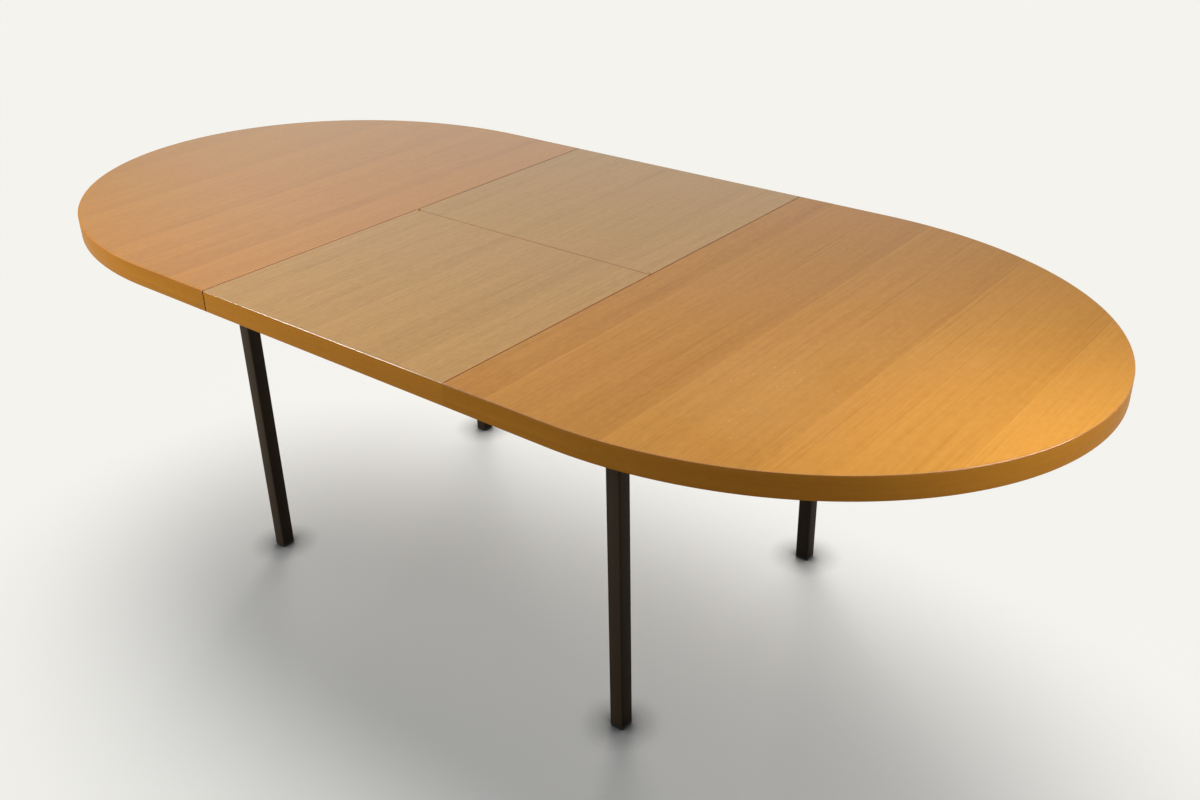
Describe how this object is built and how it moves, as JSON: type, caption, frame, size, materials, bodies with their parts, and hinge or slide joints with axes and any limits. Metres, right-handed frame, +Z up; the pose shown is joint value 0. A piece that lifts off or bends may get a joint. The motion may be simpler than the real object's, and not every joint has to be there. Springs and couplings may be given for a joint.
{
  "type": "oval extension table",
  "caption": "Oval dining table on a steel leg frame: two D-shaped half tops slide apart on runners around a lift-out centre leaf that folds along its middle.",
  "frame": {"origin": "on the floor under the middle of the table", "axes": "+X along the table towards the right half, +Y across it, away from the viewer, +Z up"},
  "size_m": [2.3096, 1.0768, 0.7427],
  "materials": {
    "top_veneer": "satin lacquered veneer",
    "leaf_veneer": "satin lacquered veneer",
    "edge_lipping": "satin lacquered",
    "build_up_wood": "sanded",
    "runner_beech": "waxed",
    "frame_steel": "satin powder coat",
    "black_nylon": "moulded",
    "zinc_screws": "zinc plated",
    "felt": "pressed felt",
    "hinge_brass": "dull brass"
  },
  "bodies": {
    "base": {"leg_left_near": "frame_steel", "leg_left_far": "frame_steel", "leg_right_near": "frame_steel", "leg_right_far": "frame_steel", "foot_glides": "black_nylon", "leg_top_pads": "black_nylon", "cradle_screws": "zinc_screws", "leaf_cradle_left": "frame_steel", "leaf_cradle_right": "frame_steel", "cradle_felts": "felt", "side_rail_far": "frame_steel", "side_rail_near": "frame_steel", "end_rail_right": "frame_steel", "end_rail_left": "frame_steel", "guide_left_near": "frame_steel", "guide_left_far": "frame_steel", "guide_right_near": "frame_steel", "guide_right_far": "frame_steel", "stop_screws": "zinc_screws"},
    "left_half": {"top_board_left": "top_veneer", "edge_rim_left": "build_up_wood", "edge_lipping_left": "edge_lipping", "runner_left_near": "runner_beech", "runner_left_far": "runner_beech", "runner_screws_left": "zinc_screws", "leaf_ledge_left": "runner_beech", "ledge_screws_left": "zinc_screws"},
    "right_half": {"top_board_right": "top_veneer", "edge_rim_right": "build_up_wood", "edge_lipping_right": "edge_lipping", "runner_right_near": "runner_beech", "runner_right_far": "runner_beech", "runner_screws_right": "zinc_screws", "leaf_ledges_right": "runner_beech", "ledge_screws_right": "zinc_screws"},
    "leaf_near": {"leaf_board_near": "leaf_veneer", "leaf_rim_near": "build_up_wood", "leaf_lipping_near": "edge_lipping", "hinge_straps_near": "hinge_brass", "hinge_pins": "hinge_brass", "hinge_screws_near": "hinge_brass"},
    "leaf_far": {"leaf_board_far": "leaf_veneer", "leaf_rim_far": "build_up_wood", "leaf_lipping_far": "edge_lipping", "hinge_straps_far": "hinge_brass", "hinge_screws_far": "hinge_brass"}
  },
  "joints": [
    {"name": "left_half_slide", "type": "slide", "parent": "base", "child": "left_half", "axis": [-1, 0, 0], "range_m": [0, 0.06]},
    {"name": "right_half_slide", "type": "slide", "parent": "base", "child": "right_half", "axis": [1, 0, 0], "range_m": [0, 0.06]},
    {"name": "leaf_lift", "type": "slide", "parent": "base", "child": "leaf_near", "axis": [0, 0, 1], "range_m": [0, 0.25]},
    {"name": "leaf_fold", "type": "hinge", "parent": "leaf_near", "child": "leaf_far", "pos_m": [0, 0, 0.74015], "axis": [1, 0, 0], "range_deg": [0, 180]}
  ]
}
